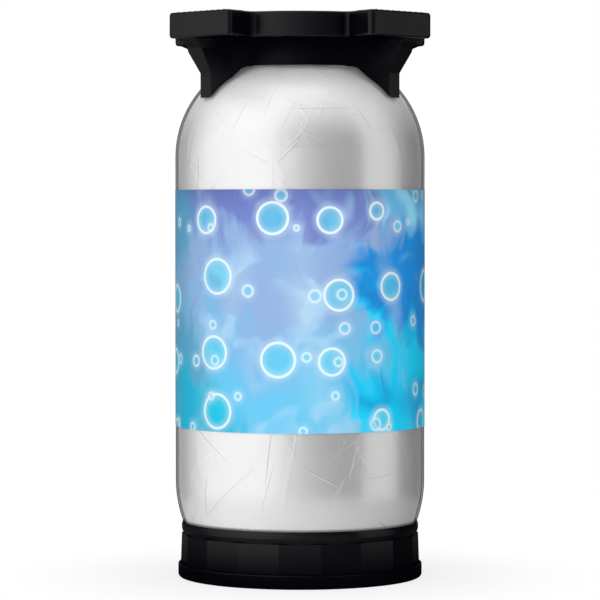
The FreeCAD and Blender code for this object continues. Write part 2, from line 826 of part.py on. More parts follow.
def top_ring():
    """Grip ring: hollow rim with ears, inner collar on the dome, legs beside two hand holds,
    and a spoked floor that clips between the support ring and the closure."""
    wall = size("ring_wall")
    collar = size("collar_radius")
    bore = collar - size("collar_wall")
    under_plate = ring_top - size("ring_plate")
    outside = rim_solid()
    below = ring_low - SPARE
    hollows = [cylinder("ring_channel", size("ring_radius") - wall, below, under_plate)]
    slope_gain = wall / cosine(size("ear_flare"))
    slope = sine(size("ear_flare")) / cosine(size("ear_flare"))
    for number in range(EARS):
        hollows.append(ear_prism("ear_room_%d" % number, size("ear_reach") - wall,
                                 size("ear_half") - slope_gain - wall * slope,
                                 size("ear_room_root"), below, under_plate,
                                 (number + 0.5) * 360.0 / EARS))
    skin = cut("ring_skin", outside, joined("ring_rooms", hollows))
    tube = cylinder("ring_collar", collar, foot_level, ring_top - size("collar_sink"))

    legs = []
    for number, turn in enumerate((0.0, 180.0)):
        solid = leg_block("leg_out_%d" % number, sized(0.0), foot_level, turn)
        room = leg_block("leg_in_%d" % number, size("leg_wall"), foot_level - SPARE, turn)
        walls = cut("leg_walls_%d" % number, solid, room)
        legs.append(cut("legs_%d" % number, walls, hand_hold("hold_%d" % number, turn)))

    ribs = []
    pitch = size("ear_rib_pitch")
    start = size("ear_reach") - size("ring_edge") - size("ear_rib_inset") - size("ear_rib_long")
    for ear in range(EARS):
        turn = (ear + 0.5) * 360.0 / EARS
        for number in range(EAR_RIBS):
            rib = doc.addObject("Part::Box", "ear_rib_%d_%d" % (ear, number))
            bind(rib, Length=size("ear_rib_long"), Width=size("ear_rib_wide"),
                 Height=size("ear_rib_high") * 2)
            side = pitch * (number - (EAR_RIBS - 1) / 2) - size("ear_rib_wide") / 2
            place(rib, start * cosine(turn) - side * sine(turn),
                  start * sine(turn) + side * cosine(turn),
                  ring_top - size("ear_rib_high"), turn)
            ribs.append(rib)
    whole = joined("ring_whole", [skin, tube] + legs)
    room = joined("ring_room", [
        cylinder("ring_bore", bore, foot_level - SPARE, ring_top + SPARE),
        shell_envelope("ring_dome_room", size("fit_gap")), skirt_room()])
    hollowed = cut("ring_hollowed", whole, room)

    web = cylinder("ring_web", bore + SPARE, web_low, web_top)
    under = web_low - SPARE
    over = web_top + SPARE
    rim = size("web_rim")
    hole = cylinder("ring_web_hole", neck_radius + size("fit_gap"), under, over)
    windows = cut("ring_windows",
                  cylinder("ring_window_out", bore - rim, under, over),
                  cylinder("ring_window_in", support_radius + rim, under, over))
    spokes = []
    for number in range(SPOKES):
        spokes.append(box("ring_spoke_%d" % number, bore, size("spoke_wide"), under - SPARE,
                          over + SPARE, turn=(number + 0.5) * 360.0 / SPOKES))
    openings = cut("ring_openings", windows, joined("ring_spokes", spokes))
    web_open = cut("ring_web_open", web, joined("ring_web_cuts", [hole, openings]))
    joined("top_ring", [hollowed, web_open] + ribs)


# ---------------------------------------------------------------- closure and valve

flange_low = lip_level + size("seal_high")
flange_top = flange_low + size("flange_thick")
valve_top = flange_top + size("boss_rise")
boss_radius = neck_bore - size("boss_inset")
barrel_low = lip_level - size("barrel_depth")
seat_level = valve_top - size("mouth_depth")
closure_low = web_top + size("web_gap")
closure_lip_low = flange_top + size("closure_gap")
closure_top = closure_lip_low + size("closure_lip")


def closure_ring():
    """Lock ring: snaps under the bead of the neck and holds the valve body down."""
    gap = size("closure_gap")
    inner = neck_radius + gap
    bead = neck_radius + size("bead_reach") + gap
    bead_top = lip_level - size("bead_drop") + gap
    bead_low = bead_top - size("bead_thick") - gap * 2
    edge = size("closure_edge")
    body = turned("closure_plain", [
        (inner, closure_low), (closure_radius, closure_low),
        (closure_radius, closure_top - edge), (closure_radius - edge, closure_top),
        (boss_radius + gap, closure_top), (boss_radius + gap, closure_lip_low),
        (inner, closure_lip_low), (inner, bead_top), (bead, bead_low), (inner, bead_low)])
    ribs = []
    for number in range(CLOSURE_RIBS):
        turn = number * 360.0 / CLOSURE_RIBS
        ribs.append(cylinder("closure_rib_%d" % number, size("closure_ribs_radius"),
                             closure_low + size("closure_rib_low"),
                             closure_top - size("closure_rib_drop"),
                             closure_radius * cosine(turn), closure_radius * sine(turn)))
    joined("closure_ring", [body] + ribs)


def neck_seal():
    """Flat rubber ring between the lip and the valve flange."""
    return ring("neck_seal", neck_bore + size("plug_gap"), neck_radius, lip_level, flange_low)


def relief_spot():
    offset = size("relief_offset")
    return offset * cosine(RELIEF_TURN), offset * sine(RELIEF_TURN)


plug_low = lip_level - size("plug_depth")
relief_floor = plug_low + size("relief_floor")


def valve_body():
    """Moulded valve housing: flange, plug, boss with three lugs, barrel with gas ports."""
    plug_radius = neck_bore - size("plug_gap")
    barrel = size("barrel_radius")
    edge = size("valve_edge")
    body = turned("valve_plain", [
        (0, barrel_low), (barrel, barrel_low), (barrel, plug_low), (plug_radius, plug_low),
        (plug_radius, flange_low), (neck_radius, flange_low), (neck_radius, flange_top),
        (boss_radius, flange_top), (boss_radius, valve_top - edge),
        (boss_radius - edge, valve_top), (0, valve_top)])
    lugs = []
    for number in range(LUGS):
        lugs.append(cylinder("valve_lug_%d" % number, boss_radius + size("lug_reach"),
                             valve_top - size("lug_thick"), valve_top,
                             turn=number * 360.0 / LUGS, angle=size("lug_angle")))
    chamber = size("chamber_radius")
    mouth = size("mouth_radius")
    bores = [turned("valve_bores", [
        (0, barrel_low - SPARE), (chamber, barrel_low - SPARE), (chamber, seat_level),
        (mouth, seat_level), (mouth, valve_top - edge), (mouth + edge, valve_top),
        (mouth + edge, valve_top + SPARE), (0, valve_top + SPARE)])]
    for number in range(PORTS):
        port = cylinder("valve_port_%d" % number, size("port_radius"), sized(0.0),
                        barrel + SPARE)
        turn = (number + 0.5) * 360.0 / PORTS
        lie = FreeCAD.Rotation(FreeCAD.Vector(0, 0, 1), turn).multiply(
            FreeCAD.Rotation(FreeCAD.Vector(0, 1, 0), 90))
        port.setExpression("Placement.Base.z", None)
        port.Placement = FreeCAD.Placement(FreeCAD.Vector(0, 0, 0), lie)
        level = plug_low - size("port_radius") - size("port_drop")
        port.setExpression("Placement.Base.z", level.text)
        bores.append(port)
    x, y = relief_spot()
    bores.append(cylinder("relief_bore", size("relief_radius"), relief_floor,
                          valve_top + SPARE, x, y))
    bores.append(cylinder("relief_port", size("relief_port"), plug_low - SPARE,
                          relief_floor + SPARE, x, y))
    doc.recompute()
    solid = joined("valve_solid", [body] + lugs)
    cut("valve_body", solid, joined("valve_cuts", bores))


sleeve_top = valve_top - size("sleeve_sink")
gas_seal_top = seat_level - size("seat_gap")
sleeve_flange_top = gas_seal_top - size("gas_seal_high")
sleeve_flange_low = sleeve_flange_top - size("sleeve_flange")
sleeve_radius = size("mouth_radius") - size("slide_gap")
sleeve_flange = size("chamber_radius") - size("sleeve_flange_gap")
cup_floor = lip_level - size("cup_depth")
crown_low = sleeve_top - size("crown_thick")
stem_end = lip_level - size("stem_low")


def gas_valve():
    """Sliding sleeve: crown and cup for the product valve, flange for the gas seal, stem."""
    edge = size("valve_edge")
    return turned("gas_valve", [
        (size("stem_bore"), stem_end), (size("stem_radius"), stem_end),
        (size("stem_radius"), sleeve_flange_low - size("sleeve_taper")),
        (sleeve_radius, sleeve_flange_low), (sleeve_flange, sleeve_flange_low),
        (sleeve_flange, sleeve_flange_top), (sleeve_radius, sleeve_flange_top),
        (sleeve_radius, sleeve_top - edge), (sleeve_radius - edge, sleeve_top),
        (size("crown_bore"), sleeve_top), (size("crown_bore"), crown_low),
        (size("cup_radius"), crown_low), (size("cup_radius"), cup_floor),
        (size("stem_bore"), cup_floor)])


def gas_seal():
    return ring("gas_seal", sleeve_radius + size("press_gap"), sleeve_flange,
                sleeve_flange_top, gas_seal_top)


product_seal_low = crown_low - size("product_seal_high")


def product_seal():
    return ring("product_seal", size("product_seal_bore"),
                size("cup_radius") - size("press_gap"), product_seal_low, crown_low)


poppet_top = product_seal_low - size("seat_gap")
poppet_low = poppet_top - size("poppet_thick")


def product_valve():
    """Poppet: nose through the seal, head that shuts against it, pin inside its spring."""
    head = size("poppet_head")
    nose = size("poppet_nose")
    pin = size("pin_radius")
    edge = size("poppet_edge")
    nose_top = sleeve_top - size("nose_sink")
    return turned("product_valve", [
        (0, poppet_low - size("pin_long")), (pin, poppet_low - size("pin_long")),
        (pin, poppet_low), (head, poppet_low), (head, poppet_top - edge),
        (head - edge, poppet_top), (nose, poppet_top), (nose, nose_top - edge),
        (nose - edge, nose_top), (0, nose_top)])


cage_top = cup_floor + size("cage_thick")


def product_cage():
    return ring("product_cage", size("cage_bore"), size("cup_radius") - size("press_gap"),
                cup_floor, cage_top)


spout_low = lip_level - size("spout_low")
socket_top = spout_low + size("tube_socket")


def bag_spout():
    """Spout welded into the bag: flange under the barrel, ring groove, socket for the tube."""
    bore = size("stem_radius") + size("stem_gap")
    groove = bore + size("groove_depth")
    middle = lip_level - size("groove_level")
    half = size("groove_high") / 2
    socket = size("tube_radius") + size("press_gap")
    flange_under = barrel_low - size("spout_flange")
    return turned("bag_spout", [
        (socket, spout_low), (size("spout_radius"), spout_low),
        (size("spout_radius"), flange_under), (size("barrel_radius"), flange_under),
        (size("barrel_radius"), barrel_low), (bore, barrel_low), (bore, middle + half),
        (groove, middle + half), (groove, middle - half), (bore, middle - half),
        (bore, socket_top), (socket, socket_top)])


def spout_seal():
    """Round rubber ring in the spout's groove."""
    seal = doc.addObject("Part::Torus", "spout_seal")
    cord = size("cord_radius")
    groove = size("stem_radius") + size("stem_gap") + size("groove_depth")
    bind(seal, Radius1=groove - cord - size("press_gap"), Radius2=cord)
    place(seal, z=lip_level - size("groove_level"))
    seal.Label = "spout_seal"


def drain_tube():
    """Tube that keeps a way open through the bag as it collapses, with cross holes."""
    outer = size("tube_radius")
    inner = outer - size("tube_wall")
    reach = outer + SPARE
    top = socket_top - size("tube_top_gap")
    tube = ring("tube_plain", inner, outer, size("tube_stand"), top)
    holes = []
    for number in range(TUBE_ROWS):
        level = size("tube_stand") + size("tube_hole_pitch") * (number + 0.5)
        hole = cylinder("tube_hole_%d" % number, size("tube_hole"), sized(0.0), reach * 2)
        turn = 90.0 * (number % 2)
        lie = FreeCAD.Rotation(FreeCAD.Vector(0, 0, 1), turn).multiply(
            FreeCAD.Rotation(FreeCAD.Vector(0, 1, 0), 90))
        spot = lie.multVec(FreeCAD.Vector(0, 0, -1)).multiply(reach.value)
        hole.setExpression("Placement.Base.z", None)
        hole.Placement = FreeCAD.Placement(spot, lie)
        hole.setExpression("Placement.Base.x", (-reach * cosine(turn)).text)
        hole.setExpression("Placement.Base.y", (-reach * sine(turn)).text)
        hole.setExpression("Placement.Base.z", level.text)
        holes.append(hole)
    doc.recompute()
    cut("drain_tube", tube, joined("tube_holes", holes))


relief_disc_low = relief_floor + size("seat_gap")
relief_disc_top = relief_disc_low + size("relief_disc")
relief_cap_low = valve_top - size("relief_cap_thick")


def relief_plunger():
    """Sprung disc over the relief port, with a stem that runs in the cap."""
    x, y = relief_spot()
    disc = size("relief_radius") - size("slide_gap")
    stem = size("relief_stem")
    body = turned("relief_plunger", [
        (0, sized(0.0)), (disc, sized(0.0)), (disc, size("relief_disc")),
        (stem, size("relief_disc")), (stem, size("relief_disc") + size("relief_stem_long")),
        (0, size("relief_disc") + size("relief_stem_long"))])
    place(body, x, y, relief_disc_low)


def relief_cap():
    x, y = relief_spot()
    body = ring("relief_cap", size("relief_cap_bore"),
                size("relief_radius") - size("press_gap"), sized(0.0), size("relief_cap_thick"))
    place(body, x, y, relief_cap_low)


def dust_cap():
    """Snap-on cap over the closure with a pull tab."""
    inner = closure_radius + size("closure_ribs_radius") + size("cap_gap")
    outer = inner + size("cap_wall")
    low = valve_top + size("cap_clear")
    top = low + size("cap_plate")
    skirt = top - size("cap_skirt")
    edge = size("cap_edge")
    root_in = size("cap_wall") / 2
    cap = turned("cap_plain", [
        (inner, skirt), (outer, skirt), (outer, top - edge), (outer - edge, top),
        (0, top), (0, low), (inner, low)], {2: (edge, -1)})
    tab = box("cap_tab", size("tab_long") + root_in, size("tab_wide"), skirt,
              skirt + size("tab_thick"), start=outer - root_in, turn=TAB_TURN)
    doc.recompute()
    joined("dust_cap", [cap, tab])


# ---------------------------------------------------------------- build, check and write

outer_shell()
liner_bag()
label()
base_ring()
top_ring()
closure_ring()
neck_seal()
valve_body()
gas_valve()
gas_seal()
product_seal()
product_valve()
product_cage()
bag_spout()
spout_seal()
drain_tube()
relief_plunger()
relief_cap()
dust_cap()
spring("gas_spring", size("gas_spring_radius"), size("gas_wire"), size("gas_turns"),
       barrel_low, sleeve_flange_low)
spring("product_spring", size("product_spring_radius"), size("product_wire"),
       size("product_turns"), cage_top, poppet_low)
relief_x, relief_y = relief_spot()
spring("relief_spring", size("relief_spring_radius"), size("relief_wire"),
       size("relief_turns"), relief_disc_top, relief_cap_low, relief_x, relief_y)
doc.recompute()

NODES = (
    "outer_shell", "liner_bag", "label", "base_ring", "top_ring", "closure_ring", "neck_seal",
    "valve_body", "gas_valve", "gas_seal", "gas_spring", "product_seal", "product_valve",
    "product_spring", "product_cage", "bag_spout", "spout_seal", "drain_tube",
    "relief_plunger", "relief_spring", "relief_cap", "dust_cap",
)

for thing in doc.Objects:
    if "Invalid" in thing.State or "Error" in thing.State:
        raise RuntimeError("%s did not build: %s" % (thing.Label, thing.State))

os.makedirs("parts", exist_ok=True)
for node in NODES:
    thing = doc.getObjectsByLabel(node)[0]
    shape = thing.Shape
    if shape.isNull() or not shape.isValid():
        raise RuntimeError("%s has no valid shape" % node)
    shape.exportStep(os.path.join("parts", node + ".step"))
    print("%-16s solids %d volume %.1f cm3" % (node, len(shape.Solids), shape.Volume / 1000))
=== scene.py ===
import math

import bpy
import numpy as np
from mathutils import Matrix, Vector


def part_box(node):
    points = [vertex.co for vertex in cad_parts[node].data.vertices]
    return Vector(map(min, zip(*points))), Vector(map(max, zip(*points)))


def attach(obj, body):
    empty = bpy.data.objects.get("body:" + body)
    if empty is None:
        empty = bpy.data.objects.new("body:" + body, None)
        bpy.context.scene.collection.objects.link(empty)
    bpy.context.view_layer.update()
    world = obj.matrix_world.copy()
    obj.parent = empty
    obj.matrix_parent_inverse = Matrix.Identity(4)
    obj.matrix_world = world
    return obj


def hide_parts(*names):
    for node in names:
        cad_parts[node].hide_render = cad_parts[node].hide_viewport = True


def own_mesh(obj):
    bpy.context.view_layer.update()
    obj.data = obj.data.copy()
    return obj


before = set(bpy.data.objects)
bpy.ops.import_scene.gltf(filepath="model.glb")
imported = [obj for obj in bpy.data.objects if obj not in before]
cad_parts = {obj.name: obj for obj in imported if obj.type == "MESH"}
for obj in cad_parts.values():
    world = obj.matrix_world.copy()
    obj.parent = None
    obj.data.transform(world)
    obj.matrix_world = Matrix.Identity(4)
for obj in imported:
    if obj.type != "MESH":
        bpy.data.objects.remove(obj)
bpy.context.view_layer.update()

# A slim one-way keg: clear shell, crinkled foil bag, printed film, black grip and base rings.
# Lengths are metres, +Z is up and -Y is the front.

MM = 0.001
FULL_TURN = 2.0 * math.pi


# ------------------------------------------------------------------ shader maths

class Link:
    """An output of a node, which takes part in Python arithmetic by adding Math nodes."""

    def __init__(self, paint, socket):
        self.paint = paint
        self.socket = socket

    def _maths(self, operation, *values, clamp=False):
        settings = {"operation": operation, "use_clamp": clamp}
        inputs = {number: value for number, value in enumerate(values)}
        return self.paint.node("ShaderNodeMath", settings, inputs)

    def __add__(self, other):
        return self._maths("ADD", self, other)

    def __sub__(self, other):
        return self._maths("SUBTRACT", self, other)

    def __rsub__(self, other):
        return self._maths("SUBTRACT", other, self)

    def __mul__(self, other):
        return self._maths("MULTIPLY", self, other)

    def __pow__(self, other):
        return self._maths("POWER", self, other)

    def __abs__(self):
        return self._maths("ABSOLUTE", self)

    def sin(self):
        return self._maths("SINE", self)

    def bearing(self, along):
        """Angle of the direction (along, self)."""
        return self._maths("ARCTAN2", self, along)

    def above(self, other):
        """1 where this is greater than other, else 0."""
        return self._maths("GREATER_THAN", self, other)

    def clamped(self):
        """Held between 0 and 1."""
        return self._maths("ADD", self, 0.0, clamp=True)

    def ramp(self, low, high):
        """0 below low, 1 above high, smooth between."""
        settings = {"interpolation_type": "SMOOTHSTEP"}
        inputs = {"Value": self, "From Min": low, "From Max": high}
        return self.paint.node("ShaderNodeMapRange", settings, inputs)


class Paint:
    """One material: its nodes, its Principled shader and the sockets that patterns read."""

    def __init__(self, name, **constants):
        self.material = bpy.data.materials.new(name)
        self.material.use_nodes = True
        self.tree = self.material.node_tree
        self.tree.nodes.clear()
        out = self.tree.nodes.new("ShaderNodeOutputMaterial")
        self.shader = self.tree.nodes.new("ShaderNodeBsdfPrincipled")
        self.tree.links.new(self.shader.outputs["BSDF"], out.inputs["Surface"])
        for key, value in constants.items():
            title = key.replace("_", " ").title().replace("Ior", "IOR")
            self.shader.inputs[title].default_value = value

    def node(self, kind, settings=None, inputs=None, output=0):
        """Add a node, set its settings, then its input values or links; give back one output."""
        made = self.tree.nodes.new(kind)
        for key, value in (settings or {}).items():
            setattr(made, key, value)
        for key, value in (inputs or {}).items():
            if isinstance(value, Link):
                self.tree.links.new(value.socket, made.inputs[key])
            else:
                made.inputs[key].default_value = value
        return Link(self, made.outputs[output])

    def feed(self, **links):
        """Link patterns to the shader's inputs."""
        for key, value in links.items():
            self.tree.links.new(value.socket, self.shader.inputs[key.replace("_", " ").title()])

    def place(self):
        """Object coordinates, in metres."""
        return self.node("ShaderNodeTexCoord", output="Object")

    def stretched(self, scale, spot=None):
        """Object coordinates, stretched by scale along each axis."""
        return self.node("ShaderNodeMapping", None, {"Vector": spot or self.place(), "Scale": scale})

    def noise(self, size, detail=3.0, roughness=0.5, spot=None, output=0):
        """Noise with blobs about size metres across, 0 to 1."""
        inputs = {"Vector": spot or self.place(), "Scale": 1.0 / size, "Detail": detail,
                  "Roughness": roughness}
        return self.node("ShaderNodeTexNoise", None, inputs, output)

    def blend(self, share, first, second):
        """Mix two colours by share."""
        settings = {"data_type": "RGBA"}
        return self.node("ShaderNodeMix", settings, {0: share, 6: first, 7: second}, 2)

    def bump(self, height, distance, strength):
        """Normal of the surface when height times distance is laid on it."""
        inputs = {"Height": height, "Distance": distance, "Strength": strength}
        return self.node("ShaderNodeBump", None, inputs)

    def split(self, vector):
        """x, y and z of a vector as three links."""
        made = self.tree.nodes.new("ShaderNodeSeparateXYZ")
        self.tree.links.new(vector.socket, made.inputs[0])
        return [Link(self, socket) for socket in made.outputs]


def colour(red, green, blue):
    return (red, green, blue, 1.0)


# ------------------------------------------------------------------ finishes

def black_moulding(name, gloss, edgeways_painted_shade):
    """Black polypropylene with a fine spark-eroded grain. Its coat carries painted shade: open faces
    keep a low gloss, while hollows and inner corners lose it and so read darker.
    edgeways_painted_shade takes gloss off faces seen edgeways, as painted shade towards the outline."""
    paint = Paint(name, specular_ior_level=0.0, coat_roughness=0.21)
    cloud = paint.noise(45 * MM, 3.0)
    streak = paint.noise(8 * MM, 2.0, spot=paint.stretched((1.0, 1.0, 0.12)))
    fine = paint.noise(0.9 * MM, 2.0, 0.6)
    tone = (cloud * 0.6 + streak * 0.4).clamped()
    open_ = paint.node("ShaderNodeAmbientOcclusion", {"samples": 12}, {"Distance": 70 * MM}, "AO")
    facing = paint.node("ShaderNodeLayerWeight", None, {"Blend": 0.5}, "Facing")
    # Painted shade: gloss falls away in hollows, found by ambient occlusion, and on faces seen
    # edgeways.
    gloss_with_painted_shade = open_.ramp(0.60, 1.0) * (1.0 - facing.ramp(0.08, 0.5) * edgeways_painted_shade)
    paint.feed(base_color=paint.blend(tone, colour(0.0009, 0.0008, 0.0018),
                                      colour(0.0020, 0.0018, 0.0034)),
               roughness=fine * 0.1 + cloud * 0.1 + 0.35,
               coat_weight=gloss_with_painted_shade * (tone * 0.10 + fine * 0.06 + gloss),
               normal=paint.bump(fine, 0.04 * MM, 0.5))
    return paint.material


def moulded(name, pale, deep, roughness=0.42):
    """Plain coloured moulding with a soft grain and a little unevenness."""
    paint = Paint(name, specular_ior_level=0.45)
    cloud = paint.noise(14 * MM, 3.0)
    fine = paint.noise(1.2 * MM, 2.0, 0.6)
    paint.feed(base_color=paint.blend(cloud, pale, deep),
               roughness=cloud * 0.12 + (roughness - 0.06),
               normal=paint.bump(fine, 0.03 * MM, 0.4))
    return paint.material


def rubber(name):
    """Moulded sealing rubber: matt and dusty."""
    paint = Paint(name, specular_ior_level=0.3)
    bloom = paint.noise(3 * MM, 4.0, 0.6)
    paint.feed(base_color=paint.blend(bloom, colour(0.010, 0.010, 0.010),
                                      colour(0.035, 0.034, 0.033)),
               roughness=bloom * 0.2 + 0.6,
               normal=paint.bump(bloom, 0.04 * MM, 0.5))
    return paint.material


def spring_steel(name):
    """Bright drawn wire with fine draw lines."""
    paint = Paint(name, metallic=1.0)
    draw = paint.noise(0.35 * MM, 3.0)
    paint.feed(base_color=paint.blend(draw, colour(0.52, 0.52, 0.53), colour(0.68, 0.67, 0.66)),
               roughness=draw * 0.18 + 0.16,
               normal=paint.bump(draw, 0.01 * MM, 0.4))
    return paint.material


def crease_cells(paint, flat, size):
    """Scattered points, one to a cell: how far across and up from the nearest one, a turn and a
    strength picked for it, and 1 well inside its cell, dying out at the cell's border."""
    spread = paint.node("ShaderNodeVectorMath", {"operation": "ADD"},
                        {0: flat, 1: (size * 3.7, size * 1.3, 0.0)})
    cells = {"Vector": spread, "Scale": 1.0 / size, "Randomness": 1.0}
    nearest = {"voronoi_dimensions": "2D", "feature": "F1"}
    border = {"voronoi_dimensions": "2D", "feature": "DISTANCE_TO_EDGE"}
    centre = paint.node("ShaderNodeTexVoronoi", nearest, cells, "Position")
    turn, pick, _ = paint.split(Link(paint, centre.socket.node.outputs["Color"]))
    side, rise, _ = paint.split(paint.node("ShaderNodeVectorMath", {"operation": "SUBTRACT"},
                                           {0: spread, 1: centre}))
    inside = paint.node("ShaderNodeTexVoronoi", border, cells, "Distance").ramp(0.02, 0.14)
    return side, rise, turn, pick, inside


# The foil's long folds: cell size and strength of each layer.
FOIL_FOLDS = ((119 * MM, 1.0), (92 * MM, 0.9), (73 * MM, 0.8), (55 * MM, 0.7))
# Its star creases: cell size, rays to a star and strength of each layer.
FOIL_STARS = ((88 * MM, 7.0, 0.5), (61 * MM, 5.0, 0.6))
# Half width of a fold and of a star's ray, and the depth that a height of 1 stands for.
FOLD_FLANK = 0.95 * MM
RAY_FLANK = 0.9 * MM
FOIL_DEPTH = 0.66 * MM


def foil(name):
    """Satin aluminised laminate. Long straight folds lie one to a cell at any turn, and shorter
    creases fan out at uneven turns from star points; each is a thin ridge that dies out along
    its length. The laminate is rubbed flat on the wall and crumpled, so more scattering, on the
    dome, where its paler colour is painted light."""
    paint = Paint(name)
    across, up, _ = paint.split(paint.node("ShaderNodeUVMap", {"uv_map": "wrap"}, None, "UV"))
    flat = paint.node("ShaderNodeCombineXYZ", None, {"X": across * FILM_LONG, "Y": up * BAG_LONG})
    height = 0.0
    for size, strength in FOIL_FOLDS:
        side, rise, turn, pick, inside = crease_cells(paint, flat, size)
        sine = (turn * math.pi).sin()
        cosine = (turn * math.pi + math.pi / 2.0).sin()
        along = abs(side * cosine + rise * sine)
        off = abs(rise * cosine - side * sine)
        fold = 1.0 - off.ramp(0.0, FOLD_FLANK)
        fade = (1.0 - along.ramp(0.15 * size, 0.5 * size)) * inside
        height = fold * fade * (pick * 0.7 + 0.3) * strength + height
    for size, rays, strength in FOIL_STARS:
        side, rise, turn, pick, inside = crease_cells(paint, flat, size)
        away = (side * side + rise * rise) ** 0.5
        angle = rise.bearing(side) + turn * 6.0
        angle = angle + (angle * 2.0 + pick * 9.0).sin() * 0.4
        off = abs((angle * (rays / 2.0)).sin()) * away * (2.0 / rays)
        fold = 1.0 - off.ramp(0.0, RAY_FLANK)
        fade = (1.0 - away.ramp(0.1 * size, 0.4 * size)) * inside
        height = fold * fade * pick.ramp(0.35, 0.9) * strength + height
    cloud = paint.noise(60 * MM, 3.0)
    soft = paint.noise(14 * MM, 2.0)
    _, _, level = paint.split(paint.place())
    # Partly painted light: on the dome the foil turns less metallic and rougher for its crumpling,
    # and paler in colour as painted light.
    dome_crumple_and_painted_light = level.ramp(SHOULDER_LEVEL + 10 * MM, SHOULDER_LEVEL + 70 * MM)
    satin = paint.blend(cloud, colour(0.84, 0.83, 0.83), colour(0.90, 0.895, 0.90))
    paint.feed(base_color=paint.blend(dome_crumple_and_painted_light, satin, colour(0.96, 0.96, 0.965)),
               metallic=dome_crumple_and_painted_light * -0.65 + 0.70,
               roughness=cloud * 0.05 + dome_crumple_and_painted_light * 0.2 + 0.285,
               normal=paint.bump(height + soft * 0.4, FOIL_DEPTH, 0.7))
    return paint.material


def clear_shell(name):
    """Clear blown polyester: a faint glint face on. Towards its edges painted shade turns it grey,
    and a thin near-black line is painted where the wall is seen edgeways, in place of refraction."""
    paint = Paint(name, specular_ior_level=0.0, roughness=0.05)
    facing = paint.node("ShaderNodeLayerWeight", None, {"Blend": 0.5}, "Facing")
    haze = paint.noise(30 * MM, 2.0)
    edge = facing ** 5.0
    rim = facing.ramp(0.80, 0.94)
    # Painted shade: the wall turns near-black where it is seen edgeways, in place of refraction.
    painted_edge_shade = facing.ramp(0.74, 0.87)
    paint.feed(base_color=paint.blend(painted_edge_shade, colour(0.90, 0.91, 0.92), colour(0.04, 0.04, 0.045)),
               metallic=1.0 - edge.ramp(0.05, 0.35),
               alpha=rim * 0.70 + edge * 0.30 + haze * 0.02 + 0.01)
    return paint.material


# Inks of the printed film.
SKY_BLUE = colour(0.13, 0.52, 0.78)
PERIWINKLE = colour(0.26, 0.39, 0.65)
PALE_SKY = colour(0.34, 0.60, 0.82)
LAVENDER = colour(0.15, 0.20, 0.51)
BRIGHT_TEAL = colour(0.0, 0.42, 0.62)
TEAL = colour(0.085, 0.34, 0.54)
BRIGHT_CYAN = colour(0.0, 0.64, 0.96)
AZURE = colour(0.002, 0.27, 0.74)
LIGHT_AZURE = colour(0.29, 0.74, 0.98)
DEEP_AZURE = colour(0.008, 0.22, 0.58)
BEAM_COLOUR = colour(0.55, 0.72, 0.80)
BUBBLE_FILL = colour(0.02, 0.60, 0.80)
BUBBLE_GLOW = colour(0.60, 0.74, 0.86)
BUBBLE_LINE = colour(0.72, 0.86, 0.90)
# Beams: distance from the front in metres, lean, half width in metres and strength.
BEAMS = ((-0.07, 0.35, 0.020, 0.34), (0.005, -0.18, 0.026, 0.42), (0.10, -0.30, 0.016, 0.30))
# Bubbles: cell size, largest radius as a share of it, strength, and the share of cells left empty.
BUBBLES = ((64 * MM, 0.26, 0.9, 0.25), (31 * MM, 0.18, 0.6, 0.60))
BUBBLE_SHIFT = 11.0              # cells by which the pattern is moved sideways


